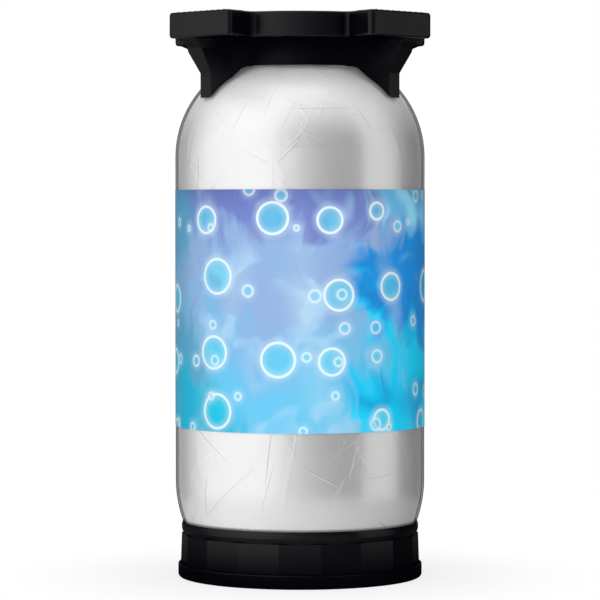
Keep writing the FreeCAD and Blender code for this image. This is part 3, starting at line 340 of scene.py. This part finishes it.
def printed_film(name):
    """Satin film with a soft print on the film's own UV map: drifting light from lavender at the
    top through periwinkle and sky blue to bright cyan at the foot, teal towards one side and
    deep azure eddies towards the other, pale upright beams, and outlined bubbles that glow."""
    paint = Paint(name, specular_ior_level=0.05)
    across, up, _ = paint.split(paint.node("ShaderNodeUVMap", {"uv_map": "wrap"}, None, "UV"))
    round_ = across * FILM_LONG
    rise = up * FILM_HIGH
    flat = paint.node("ShaderNodeCombineXYZ", None, {"X": round_, "Y": rise})
    sway = paint.noise(95 * MM, 2.0, 0.5, flat, "Color")
    drift = paint.node("ShaderNodeVectorMath", {"operation": "MULTIPLY_ADD"},
                       {0: sway, 1: (0.11, 0.11, 0.0), 2: flat})
    turn = ((across - 0.5) * FULL_TURN).sin()
    cloud = paint.noise(75 * MM, 2.0, 0.4, drift)
    patch = paint.noise(38 * MM, 2.0, 0.5, drift)
    slant = paint.node("ShaderNodeMapping", None, {"Vector": drift, "Rotation": (0.0, 0.0, 0.5),
                                                   "Scale": (1.0, 0.2, 1.0)})
    feather = (paint.noise(9 * MM, 1.0, 0.5, slant) - 0.5) * 0.22
    cloud = cloud + feather
    sky = paint.blend((up + (cloud - 0.5) * 1.1).ramp(0.10, 0.62), SKY_BLUE, PERIWINKLE)
    sky = paint.blend(patch.ramp(0.50, 0.66) * 0.7, sky, PALE_SKY)
    sky = paint.blend((up + (patch - 0.5) * 0.7 + feather).ramp(0.74, 0.96), sky, LAVENDER)
    shore = ((cloud - 0.5) * 0.6 - turn + (1.0 - up).ramp(0.5, 1.0) * 0.4).ramp(0.76, 0.98)
    green = paint.blend((up + (patch - 0.5) * 0.5).ramp(0.15, 0.40), BRIGHT_TEAL, TEAL)
    sky = paint.blend(shore * 0.9, sky, green)
    deep = paint.blend((up + (patch - 0.5) * 0.9).ramp(0.34, 0.56), BRIGHT_CYAN, AZURE)
    deep = paint.blend((up + (patch - 0.5) * 0.4).ramp(0.72, 0.92), deep, LIGHT_AZURE)
    side = (turn + (cloud - 0.5) * 1.5).ramp(0.34, 0.62)
    sky = paint.blend(side * 0.95, sky, deep)
    eddy = ((paint.noise(120 * MM, 1.0, 0.3, drift) * 26.0).sin() * 0.5 + 0.5) ** 3.0
    sky = paint.blend(eddy * side * 0.55, sky, DEEP_AZURE)
    for at, lean, wide, share in BEAMS:
        off = abs(round_ - FILM_LONG * 0.5 - at - (rise - FILM_HIGH * 0.5) * lean)
        beam = (1.0 - (off + feather * 0.03).ramp(0.0, wide)) * cloud.ramp(0.25, 0.75)
        sky = paint.blend(beam * share, sky, BEAM_COLOUR)
    for size, largest, share, empty in BUBBLES:
        spread = paint.node("ShaderNodeVectorMath", {"operation": "ADD"},
                            {0: flat, 1: (BUBBLE_SHIFT * size, size * 0.3, 0.0)})
        cells = {"Vector": spread, "Scale": 1.0 / size, "Randomness": 0.6}
        settings = {"voronoi_dimensions": "2D", "feature": "F1"}
        reach = paint.node("ShaderNodeTexVoronoi", settings, cells, "Distance")
        pick, other, _ = paint.split(paint.node("ShaderNodeTexVoronoi", settings, cells, "Color"))
        radius = pick * largest * 0.6 + largest * 0.4
        off = abs(reach - radius)
        chosen = other.above(empty)
        outline = (1.0 - off.ramp(0.7 * MM / size, 1.7 * MM / size)) * chosen
        glow = (1.0 - off.ramp(0.0, 8 * MM / size)) * chosen
        inside = (radius - reach).ramp(0.0, 0.02) * chosen
        sky = paint.blend(inside * 0.45, sky, BUBBLE_FILL)
        sky = paint.blend(glow * share * 0.35, sky, BUBBLE_GLOW)
        sky = paint.blend(outline * share, sky, BUBBLE_LINE)
    grain = paint.noise(0.6 * MM, 2.0)
    paint.feed(base_color=sky, roughness=grain * 0.06 + 0.34)
    return paint.material


# ------------------------------------------------------------------ surfaces

def grid_piece(name, x, y, z, wrap=True, uv=None):
    """Mesh through arrays of points, one row for each step along the piece and one column for
    each step round it. Columns close on themselves when wrap is set. uv gives each row's height
    in a map named wrap, whose width is the way round, with the front in the middle."""
    rows, columns = x.shape
    points = np.stack([x, y, z], axis=-1).reshape(-1, 3)
    row, column = np.meshgrid(np.arange(rows - 1), np.arange(columns if wrap else columns - 1),
                              indexing="ij")
    after = (column + 1) % columns
    faces = np.stack([row * columns + column, row * columns + after,
                      (row + 1) * columns + after, (row + 1) * columns + column], axis=-1)
    faces = faces.reshape(-1, 4)
    mesh = bpy.data.meshes.new(name)
    mesh.vertices.add(len(points))
    mesh.vertices.foreach_set("co", points.astype(np.float32).ravel())
    mesh.loops.add(faces.size)
    mesh.loops.foreach_set("vertex_index", faces.astype(np.int32).ravel())
    mesh.polygons.add(len(faces))
    mesh.polygons.foreach_set("loop_start", np.arange(0, faces.size, 4, dtype=np.int32))
    mesh.update(calc_edges=True)
    mesh.polygons.foreach_set("use_smooth", np.ones(len(faces), bool))
    if uv is not None:
        turn = (column / columns + 0.5) % 1.0
        u = np.stack([turn, turn + 1.0 / columns, turn + 1.0 / columns, turn], axis=-1)
        v = np.stack([uv[row], uv[row], uv[row + 1], uv[row + 1]], axis=-1)
        layer = mesh.uv_layers.new(name="wrap")
        layer.data.foreach_set("uv", np.stack([u, v], axis=-1).astype(np.float32).ravel())
    mesh.validate()
    piece = bpy.data.objects.new(name, mesh)
    bpy.context.scene.collection.objects.link(piece)
    return piece


def finish_piece(piece, material, body, slot, *replaced):
    """Give a made piece its material and body, and hide the nodes it stands in for; slot is not
    used.
    """
    piece.data.materials.append(material)
    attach(piece, body)
    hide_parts(*replaced)


def arc(centre_r, centre_z, radius, start, end, count):
    """Points of an arc in the half plane, angles in degrees above the outward direction."""
    angle = np.radians(np.linspace(start, end, count))
    return np.stack([centre_r + radius * np.cos(angle), centre_z + radius * np.sin(angle)], -1)


def line(start, end, count):
    """Points of a straight stretch, evenly spaced."""
    share = np.linspace(0.0, 1.0, count)[:, None]
    return np.array(start)[None, :] * (1 - share) + np.array(end)[None, :] * share


def joined_path(*parts):
    """Join stretches of a profile, dropping the repeated point where two of them meet."""
    return np.concatenate([parts[0]] + [part[1:] for part in parts[1:]])


def spin(path, columns):
    """Carry a profile of (radius, height) round the upright axis."""
    angle = np.linspace(0.0, FULL_TURN, columns, endpoint=False)
    x = path[:, :1] * np.sin(angle)[None, :]
    y = -path[:, :1] * np.cos(angle)[None, :]
    z = np.repeat(path[:, 1:], columns, axis=1)
    return x, y, z


# ------------------------------------------------------------------ driving sizes

NEAR_AXIS = 1e-5                 # radius at which a profile starts, just off the axis

# Shell: wall, rounded heel, straight wall, dome and neck. Steps are points in each stretch of
# the profile.
SHELL_LOW, SHELL_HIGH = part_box("outer_shell")
SHELL_RADIUS = SHELL_HIGH.x
SHELL_WALL = 1.5 * MM
HEEL_ANGLE = 30.0                # degrees below level, where the heel's small arc meets its big one
HEEL_KNUCKLE = 45.0 * MM
STRAIGHT = 308.1 * MM
DOME_RISE = 103.75 * MM
DOME_KNUCKLE = 100.0 * MM
HEEL_LEVEL = (SHELL_LOW.z + HEEL_KNUCKLE
              + (SHELL_RADIUS - HEEL_KNUCKLE) * math.sin(math.radians(HEEL_ANGLE)))
SHOULDER_LEVEL = HEEL_LEVEL + STRAIGHT
NECK_RADIUS = 31.0 * MM
NECK_BORE = 28.5 * MM
LIP_LEVEL = SHELL_HIGH.z
SUPPORT_RADIUS = 38.0 * MM
SUPPORT_DROP = 12.5 * MM         # from the lip down to the support ring's top
SUPPORT_THICK = 3.0 * MM
BEAD_DROP = 5.0 * MM             # from the lip down to the top of the snap bead
BEAD_HIGH = 2.5 * MM
BEAD_OUT = 2.0 * MM
SHELL_STEPS = (6, 26, 30, 8, 60, 24)
SHELL_COLUMNS = 240

# Bag: gap to the shell, its own lower dome, the hole for the spout and its foil's relief.
BAG_GAP = 0.4 * MM
BAG_RISE = 90.6 * MM
BAG_KNUCKLE = 90.0 * MM
SPOUT_RADIUS = 15.05 * MM
BAG_LONG = 0.75                  # length of profile that the map named wrap stands for
BAG_RELIEF = 0.28 * MM           # level that no fold or dent goes past
BAG_STEPS = (3, 8, 34, 2, 66, 22)
WALL_STEPS = (34, 5, 22)         # points below, behind and above the film
BAG_COLUMNS = 420

# Folds and dents of the bag's own shape.
FOLD_STARS = 120
FOLD_RAYS = (3, 7)               # fewest to a star, and one more than the most
FOLD_REACH = (16 * MM, 62 * MM)
FOLD_HEIGHT = (0.10 * MM, 0.25 * MM)
FOLD_SENSE = [1.0, 1.0, -0.6]    # two folds in three stand out, the third sinks in
FOLD_WIDTH = (3.0 * MM, 5.0 * MM)
DENT_COUNT = 170
DENT_SIZE = (12 * MM, 34 * MM)
DENT_HEIGHT = (-0.28 * MM, 0.28 * MM)
DENT_NARROW = 1.8                # how much narrower than long a dent is

# Printed film.
LABEL_LOW, LABEL_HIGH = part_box("label")
FILM_LONG = FULL_TURN * LABEL_HIGH.x
FILM_HIGH = LABEL_HIGH.z - LABEL_LOW.z
FILM_BACK = 0.05 * MM            # gap between the shell and the film's back
FILM_PAST = 1 * MM               # how far past its edges the bag's close rows go on
FILM_UNDER = 8 * MM              # how far inside its edges the bag's wide rows start
FILM_ROWS = 9
FILM_COLUMNS = 288

# Springs: steps to a turn and round the wire, and the clearance at each end.
COIL_STEPS = 40
WIRE_SIDES = 12
COIL_SLACK = 0.04 * MM


def crown_of(radius, rise, knuckle):
    """Crown radius and the angle in degrees at which the knuckle hands over to the crown."""
    swing = radius - knuckle
    crown = (swing ** 2 + rise ** 2 - knuckle ** 2) / (2.0 * (rise - knuckle))
    return crown, math.degrees(math.atan2(crown - rise, swing))


def side_profile(offset, rise, knuckle, end_radius, steps):
    """Profile from the axis at the bottom up over the heel, the wall and the dome. steps gives
    the points in the flat, the two heel arcs, the wall and the two dome arcs."""
    radius = SHELL_RADIUS + offset
    tight = HEEL_KNUCKLE + offset
    lean = math.radians(HEEL_ANGLE)
    turn_r = (SHELL_RADIUS - HEEL_KNUCKLE) * math.cos(lean)
    turn_z = HEEL_LEVEL - (SHELL_RADIUS - HEEL_KNUCKLE) * math.sin(lean)
    crown, hand_over = crown_of(radius, rise, knuckle)
    centre = SHOULDER_LEVEL + rise - crown
    end = math.degrees(math.acos(end_radius / crown))
    return joined_path(
        line((NEAR_AXIS, turn_z - tight), (turn_r, turn_z - tight), steps[0]),
        arc(turn_r, turn_z, tight, -90.0, -HEEL_ANGLE, steps[1]),
        arc(0.0, HEEL_LEVEL, radius, -HEEL_ANGLE, 0.0, steps[2]),
        line((radius, HEEL_LEVEL), (radius, SHOULDER_LEVEL), steps[3]),
        arc(radius - knuckle, SHOULDER_LEVEL, knuckle, 0.0, hand_over, steps[4]),
        arc(0.0, centre, crown, hand_over, end, steps[5]))


# ------------------------------------------------------------------ pieces

def shell_piece():
    """Clear shell as one closed wall: the outer profile up to the neck's lip, then the inner
    profile back down to the axis, spun round."""
    outer = side_profile(0.0, DOME_RISE, DOME_KNUCKLE, NECK_RADIUS, SHELL_STEPS)
    inner = side_profile(-SHELL_WALL, DOME_RISE - SHELL_WALL, DOME_KNUCKLE - SHELL_WALL, NECK_BORE,
                         SHELL_STEPS)
    support = LIP_LEVEL - SUPPORT_DROP
    bead = LIP_LEVEL - BEAD_DROP
    neck = np.array([
        (NECK_RADIUS, support - SUPPORT_THICK), (SUPPORT_RADIUS, support - SUPPORT_THICK),
        (SUPPORT_RADIUS, support), (NECK_RADIUS, support), (NECK_RADIUS, bead - BEAD_HIGH),
        (NECK_RADIUS + BEAD_OUT, bead - BEAD_HIGH), (NECK_RADIUS, bead),
        (NECK_RADIUS, LIP_LEVEL), (NECK_BORE, LIP_LEVEL)])
    path = np.concatenate([outer, neck, inner[::-1]])
    return grid_piece("clear_shell_body", *spin(path, SHELL_COLUMNS))


def way_round(angle, turn):
    """Signed angle from turn to each angle, the short way round."""
    return (angle - turn + math.pi) % FULL_TURN - math.pi


def creases(angle, along, radius, seed):
    """Height of a net of sharp straight folds, as metres over a grid given by the angle round
    the axis, the length along the profile and the local radius. Each fold is a tent ridge along
    a ray from a star point: it is full at the star and dies out at its far end."""
    random = np.random.default_rng(seed)
    height = np.zeros((len(along), len(angle)))
    for _ in range(FOLD_STARS):
        turn = random.uniform(0.0, FULL_TURN)
        start = random.uniform(along[0], along[-1])
        local = max(np.interp(start, along, radius), 20 * MM)
        away = way_round(angle, turn)
        rays = random.integers(*FOLD_RAYS)
        first = random.uniform(0.0, FULL_TURN)
        for ray in range(rays):
            lean = first + FULL_TURN * ray / rays + random.uniform(-0.5, 0.5)
            reach = random.uniform(*FOLD_REACH)
            high = random.uniform(*FOLD_HEIGHT) * random.choice(FOLD_SENSE)
            wide = random.uniform(*FOLD_WIDTH)
            rows = np.flatnonzero(np.abs(along - start) < reach + wide)
            columns = np.flatnonzero(np.abs(away) * local < reach + wide)
            side = away[columns][None, :] * radius[rows][:, None]
            rise = (along[rows] - start)[:, None]
            forward = side * math.cos(lean) + rise * math.sin(lean)
            off = np.abs(rise * math.cos(lean) - side * math.sin(lean))
            fade = np.clip(forward / (3 * MM) + 1.0, 0.0, 1.0) * np.clip(
                (reach - forward) / (0.6 * reach), 0.0, 1.0)
            ridge = high * fade * np.clip(1.0 - off / wide, 0.0, 1.0) ** 1.3
            height[np.ix_(rows, columns)] += ridge
    return height


def dents(angle, along, radius, seed):
    """Height of slow dents, as metres over the same grid: overlapping smooth bumps and hollows,
    each a bell curve of the distance from its middle, longer one way than the other."""
    random = np.random.default_rng(seed)
    height = np.zeros((len(along), len(angle)))
    for _ in range(DENT_COUNT):
        turn = random.uniform(0.0, FULL_TURN)
        start = random.uniform(along[0], along[-1])
        size = random.uniform(*DENT_SIZE)
        high = random.uniform(*DENT_HEIGHT)
        lean = random.uniform(0.0, math.pi)
        side = way_round(angle, turn)[None, :] * radius[:, None]
        rise = (along - start)[:, None]
        forward = side * math.cos(lean) + rise * math.sin(lean)
        across = (rise * math.cos(lean) - side * math.sin(lean)) * DENT_NARROW
        height += high * np.exp(-(forward ** 2 + across ** 2) / (size ** 2))
    return height


def bag_piece():
    """Filled foil bag: the shell's heel and wall moved inwards under a lower dome, spun round,
    then pushed along their normal by folds and dents, which tanh levels off short of the shell.
    Rows are close where the foil shows and wide under the film."""
    offset = -(SHELL_WALL + BAG_GAP)
    radius = SHELL_RADIUS + offset
    side = side_profile(offset, BAG_RISE, BAG_KNUCKLE, SPOUT_RADIUS, BAG_STEPS)
    below, behind, above = WALL_STEPS
    shoulder = (radius, SHOULDER_LEVEL - 1.4 * MM)
    wall = [line((radius, HEEL_LEVEL), (radius, LABEL_LOW.z - FILM_PAST), below),
            line((radius, LABEL_LOW.z + FILM_UNDER), (radius, LABEL_HIGH.z - FILM_UNDER), behind),
            line((radius, LABEL_HIGH.z + FILM_PAST), shoulder, above)]
    hair = 1e-6
    path = np.concatenate([side[side[:, 1] < HEEL_LEVEL - hair], *wall,
                           side[side[:, 1] > SHOULDER_LEVEL - hair]])
    along = np.concatenate([[0.0], np.cumsum(np.hypot(*np.diff(path, axis=0).T))])
    angle = np.linspace(0.0, FULL_TURN, BAG_COLUMNS, endpoint=False)
    height = (creases(angle, along, path[:, 0], seed=11)
              + dents(angle, along, path[:, 0], seed=5))
    height = BAG_RELIEF * np.tanh(height / BAG_RELIEF)
    height *= np.clip(path[:, 0] / (60 * MM), 0.0, 1.0)[:, None]
    slope = np.gradient(path, along, axis=0)
    slope /= np.linalg.norm(slope, axis=1)[:, None]
    out_r = slope[:, 1]
    out_z = -slope[:, 0]
    x, y, z = spin(path, BAG_COLUMNS)
    x = x + height * out_r[:, None] * np.sin(angle)[None, :]
    y = y + height * out_r[:, None] * -np.cos(angle)[None, :]
    z = z + height * out_z[:, None]
    return grid_piece("foil_bag", x, y, z, uv=along / BAG_LONG)


def film_piece():
    """Printed film: a closed thin ring, its outside mapped once round by the map named wrap."""
    inner, outer = SHELL_RADIUS + FILM_BACK, LABEL_HIGH.x
    low, high = LABEL_LOW.z, LABEL_HIGH.z
    path = np.concatenate([line((outer, low), (outer, high), FILM_ROWS),
                           line((inner, high), (inner, low), FILM_ROWS), [(outer, low)]])
    share = np.linspace(0.0, 1.0, FILM_ROWS)
    share = np.concatenate([share, share[::-1], [0.0]])
    return grid_piece("printed_film", *spin(path, FILM_COLUMNS), uv=share)


def coil_piece(name, node, radius, wire, turns):
    """Coil spring: a circle of the wire's radius, upright and square to the round, carried round
    the spring's own axis while it climbs evenly; both ends close on the wire's middle."""
    low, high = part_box(node)
    steps = int(turns * COIL_STEPS)
    angle = np.linspace(0.0, FULL_TURN * turns, steps)[:, None]
    climb = (high.z - low.z - wire - 2.0 * COIL_SLACK) / (FULL_TURN * turns)
    middle = low.z + COIL_SLACK + wire / 2.0 + climb * angle
    section = np.linspace(0.0, FULL_TURN, WIRE_SIDES, endpoint=False)[None, :]
    thick = np.full((steps, 1), wire / 2.0)
    thick[[0, -1]] = 0.0
    reach = radius + thick * np.cos(section)
    x = (low.x + high.x) / 2.0 + reach * np.cos(angle)
    y = (low.y + high.y) / 2.0 + reach * np.sin(angle)
    z = middle - thick * np.sin(section)
    return grid_piece(name, x, y, z)


def sprung(piece):
    """Give a spring its own copy of its mesh."""
    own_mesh(piece)


finish_piece(shell_piece(), clear_shell("clear_polyester"), "keg", "clear_shell", "outer_shell")
finish_piece(bag_piece(), foil("crinkled_foil"), "keg", "foil", "liner_bag")
finish_piece(film_piece(), printed_film("wave_print"), "keg", "label_film", "label")

# Springs: node, body, joint that shortens it, that joint's travel, whether its top end is the
# one that stays put, radius to the wire's middle, wire thickness and turns. Travel, radius and
# thickness are in millimetres.
SPRINGS = (
    ("gas_spring", "keg", "gas_valve_slide", 5.0, False, 12.9, 1.5, 5.5),
    ("product_spring", "gas_sleeve", "product_valve_slide", 4.0, False, 5.6, 0.9, 4.5),
    ("relief_spring", "keg", "relief_slide", 1.5, True, 2.2, 0.5, 6.0),
)
WIRE = spring_steel("drawn_wire")
for node, body, joint, travel, at_top, radius, wire, turns in SPRINGS:
    coil = coil_piece(node + "_coil", node, radius * MM, wire * MM, turns)
    finish_piece(coil, WIRE, body, "spring_steel", node)
    sprung(coil)

# Pieces whose built shape is kept, and their materials.
FINISHES = {
    "base_ring": black_moulding("black_base", 0.78, 0.78),
    "top_ring": black_moulding("black_grip", 0.61, 0.42),
    "closure_ring": moulded("closure_black", colour(0.03, 0.03, 0.033), colour(0.05, 0.05, 0.055)),
    "valve_body": moulded("valve_white", colour(0.74, 0.74, 0.72), colour(0.80, 0.80, 0.78)),
    "gas_valve": moulded("sleeve_grey", colour(0.22, 0.24, 0.27), colour(0.28, 0.30, 0.33), 0.3),
    "dust_cap": moulded("cap_grey", colour(0.62, 0.63, 0.65), colour(0.70, 0.71, 0.73)),
    "drain_tube": moulded("tube_natural", colour(0.72, 0.72, 0.70), colour(0.80, 0.80, 0.78)),
    "neck_seal": rubber("seal_rubber"),
}
SAME_FINISH = {
    "product_cage": "valve_body", "bag_spout": "valve_body", "relief_cap": "valve_body",
    "product_valve": "gas_valve", "relief_plunger": "gas_valve", "gas_seal": "neck_seal",
    "product_seal": "neck_seal", "spout_seal": "neck_seal",
}
for node, other in SAME_FINISH.items():
    FINISHES[node] = FINISHES[other]
for node, material in FINISHES.items():
    thing = bpy.data.objects[node]
    thing.data.materials.clear()
    thing.data.materials.append(material)


# ------------------------------------------------------------------ studio

# Floor: its side, then the distances from the keg's axis over which it turns to even white and
# the share of white at each of them.
FLOOR_SIDE = 24.0
FLOOR_FADE = (("From Min", 0.10), ("From Max", 0.30), ("To Min", 0.80), ("To Max", 1.0))
# Flags: (radius, height) along the two upright flags and along the floor's painted shade sheet.
FLAG_PROFILE = ((0.45, 0.0), (0.43, 0.5), (0.34, 1.1))
FLOOR_SHADE_PROFILE = ((0.13, 0.0008), (0.44, 0.0008))
PANEL_COLUMNS = 120
PANEL_STEPS = 9
KEG_MIDDLE = (0.0, 0.0, 0.27)
CAMERA_PLACE = (0.0, -2.879, 0.349)
CAMERA_AIM = (0.0, 0.0, 0.26492)


def studio_shader(name, kind, **inputs):
    """Material of one plain shader, with its tree, the shader and the output node."""
    material = bpy.data.materials.new(name)
    material.use_nodes = True
    tree = material.node_tree
    tree.nodes.clear()
    out = tree.nodes.new("ShaderNodeOutputMaterial")
    shader = tree.nodes.new(kind)
    for key, value in inputs.items():
        shader.inputs[key].default_value = value
    tree.links.new(shader.outputs[0], out.inputs["Surface"])
    return material, tree, shader, out


def background_rays(tree):
    """1 for rays that should meet a white background: from the camera, gloss or clear walls."""
    path = tree.nodes.new("ShaderNodeLightPath")
    total = path.outputs["Is Camera Ray"]
    for name in ("Is Glossy Ray", "Is Transmission Ray"):
        add = tree.nodes.new("ShaderNodeMath")
        add.operation = "MAXIMUM"
        tree.links.new(total, add.inputs[0])
        tree.links.new(path.outputs[name], add.inputs[1])
        total = add.outputs[0]
    return total


def floor_piece():
    """Pale floor that keeps the keg's soft shadow and turns to even white away from it."""
    bpy.ops.mesh.primitive_plane_add(size=FLOOR_SIDE, location=(0.0, 0.0, 0.0))
    floor = bpy.context.object
    floor.name = "studio_floor"
    material, tree, diffuse, out = studio_shader("pale_floor", "ShaderNodeBsdfDiffuse",
                                                 Color=colour(0.90, 0.90, 0.90))
    glow = tree.nodes.new("ShaderNodeEmission")
    mix = tree.nodes.new("ShaderNodeMixShader")
    place = tree.nodes.new("ShaderNodeTexCoord")
    far = tree.nodes.new("ShaderNodeVectorMath")
    far.operation = "LENGTH"
    tree.links.new(place.outputs["Object"], far.inputs[0])
    fade = tree.nodes.new("ShaderNodeMapRange")
    fade.interpolation_type = "SMOOTHSTEP"
    for key, value in FLOOR_FADE:
        fade.inputs[key].default_value = value
    tree.links.new(far.outputs["Value"], fade.inputs["Value"])
    share = tree.nodes.new("ShaderNodeMath")
    share.operation = "MULTIPLY"
    tree.links.new(background_rays(tree), share.inputs[0])
    tree.links.new(fade.outputs[0], share.inputs[1])
    tree.links.new(share.outputs[0], mix.inputs[0])
    tree.links.new(diffuse.outputs[0], mix.inputs[1])
    tree.links.new(glow.outputs[0], mix.inputs[2])
    tree.links.new(mix.outputs[0], out.inputs["Surface"])
    floor.data.materials.append(material)


def shade_panel(name, path, shades):
    """Curved flag whose profile runs through the (radius, height) points of path. shades lists
    bearings round the keg, in degrees from the front towards the right, each with the
    brightness there. Only gloss sees it."""
    bearings, brightness = np.array(shades).T
    angle = np.linspace(bearings[0], bearings[-1], PANEL_COLUMNS)
    turn = np.radians(angle)[None, :]
    profile = joined_path(*[line(start, end, PANEL_STEPS) for start, end in zip(path, path[1:])])
    reach, height = profile[:, :1], profile[:, 1:]
    panel = grid_piece(name, reach * np.sin(turn), -reach * np.cos(turn), height + 0.0 * turn,
                       wrap=False)
    glow = np.tile(np.interp(angle, bearings, brightness), len(height))
    tone = panel.data.attributes.new("glow", "FLOAT", "POINT")
    tone.data.foreach_set("value", glow.astype(np.float32))
    material, tree, panel_emission, _ = studio_shader(name + "_cloth", "ShaderNodeEmission",
                                             Color=colour(1.0, 1.0, 1.0))
    read = tree.nodes.new("ShaderNodeAttribute")
    read.attribute_name = "glow"
    tree.links.new(read.outputs["Fac"], panel_emission.inputs["Strength"])
    panel.data.materials.append(material)
    panel.visible_camera = False
    panel.visible_diffuse = False
    panel.visible_shadow = False
    panel.visible_transmission = False


def aim_at(thing, place, aim):
    """Stand a lamp or camera at place, facing aim."""
    thing.location = place
    thing.rotation_euler = (Vector(aim) - Vector(place)).to_track_quat("-Z", "Y").to_euler()
    bpy.context.scene.collection.objects.link(thing)


def area_light(name, place, aim, size, size_y, power):
    """Soft rectangular lamp that neither the camera nor gloss sees."""
    data = bpy.data.lights.new(name, "AREA")
    data.shape = "RECTANGLE"
    data.size = size
    data.size_y = size_y
    data.energy = power
    lamp = bpy.data.objects.new(name, data)
    lamp.visible_camera = False
    lamp.visible_glossy = False
    aim_at(lamp, place, aim)


def white_world(strength):
    """Even white room light of the given strength, but full white where it is seen directly, in
    gloss or through clear walls."""
    world = bpy.data.worlds.new("studio_world")
    world.use_nodes = True
    tree = world.node_tree
    tree.nodes.clear()
    out = tree.nodes.new("ShaderNodeOutputWorld")
    room = tree.nodes.new("ShaderNodeBackground")
    room.inputs["Strength"].default_value = strength
    white = tree.nodes.new("ShaderNodeBackground")
    mix = tree.nodes.new("ShaderNodeMixShader")
    for shader in (room, white):
        shader.inputs["Color"].default_value = colour(1.0, 1.0, 1.0)
    tree.links.new(background_rays(tree), mix.inputs[0])
    tree.links.new(room.outputs[0], mix.inputs[1])
    tree.links.new(white.outputs[0], mix.inputs[2])
    tree.links.new(mix.outputs[0], out.inputs["Surface"])
    bpy.context.scene.world = world


floor_piece()
shade_panel("left_flag", FLAG_PROFILE, ((-150, 0.22), (-126, 0.20), (-103, 0.60), (-85, 1.0)))
shade_panel("right_flag", FLAG_PROFILE,
            ((-28, 1.0), (-14, 0.65), (0, 0.36), (17, 0.20), (31, 0.12), (51, 0.08),
             (55, 0.62), (88, 0.62), (94, 0.10), (150, 0.08)))
# Painted shade: a glowing sheet on the floor round the foot, seen only in gloss, lighter towards the
# key light and darker behind, stands in for the shaded floor that the foot reflects.
shade_panel("floor_cloth", FLOOR_SHADE_PROFILE,
            ((-180, 0.20), (-150, 0.40), (-106, 0.65), (-57, 0.86), (-37, 0.84),
             (0, 0.62), (38, 0.46), (80, 0.36), (108, 0.27), (180, 0.20)))
white_world(0.40)
area_light("key_softbox", (-2.0, -2.0, 1.2), KEG_MIDDLE, 2.4, 2.4, 24.0)
area_light("front_softbox", (-0.4, -2.5, 0.5), (0.0, 0.0, 0.35), 1.8, 0.8, 31.0)
area_light("right_softbox", (2.0, -1.2, 0.7), KEG_MIDDLE, 1.2, 1.6, 8.0)

camera_data = bpy.data.cameras.new("camera")
camera_data.lens = 180.0
camera_data.sensor_width = 36.0
camera = bpy.data.objects.new("camera", camera_data)
aim_at(camera, CAMERA_PLACE, CAMERA_AIM)
bpy.context.scene.camera = camera
bpy.context.scene.view_settings.view_transform = "Standard"
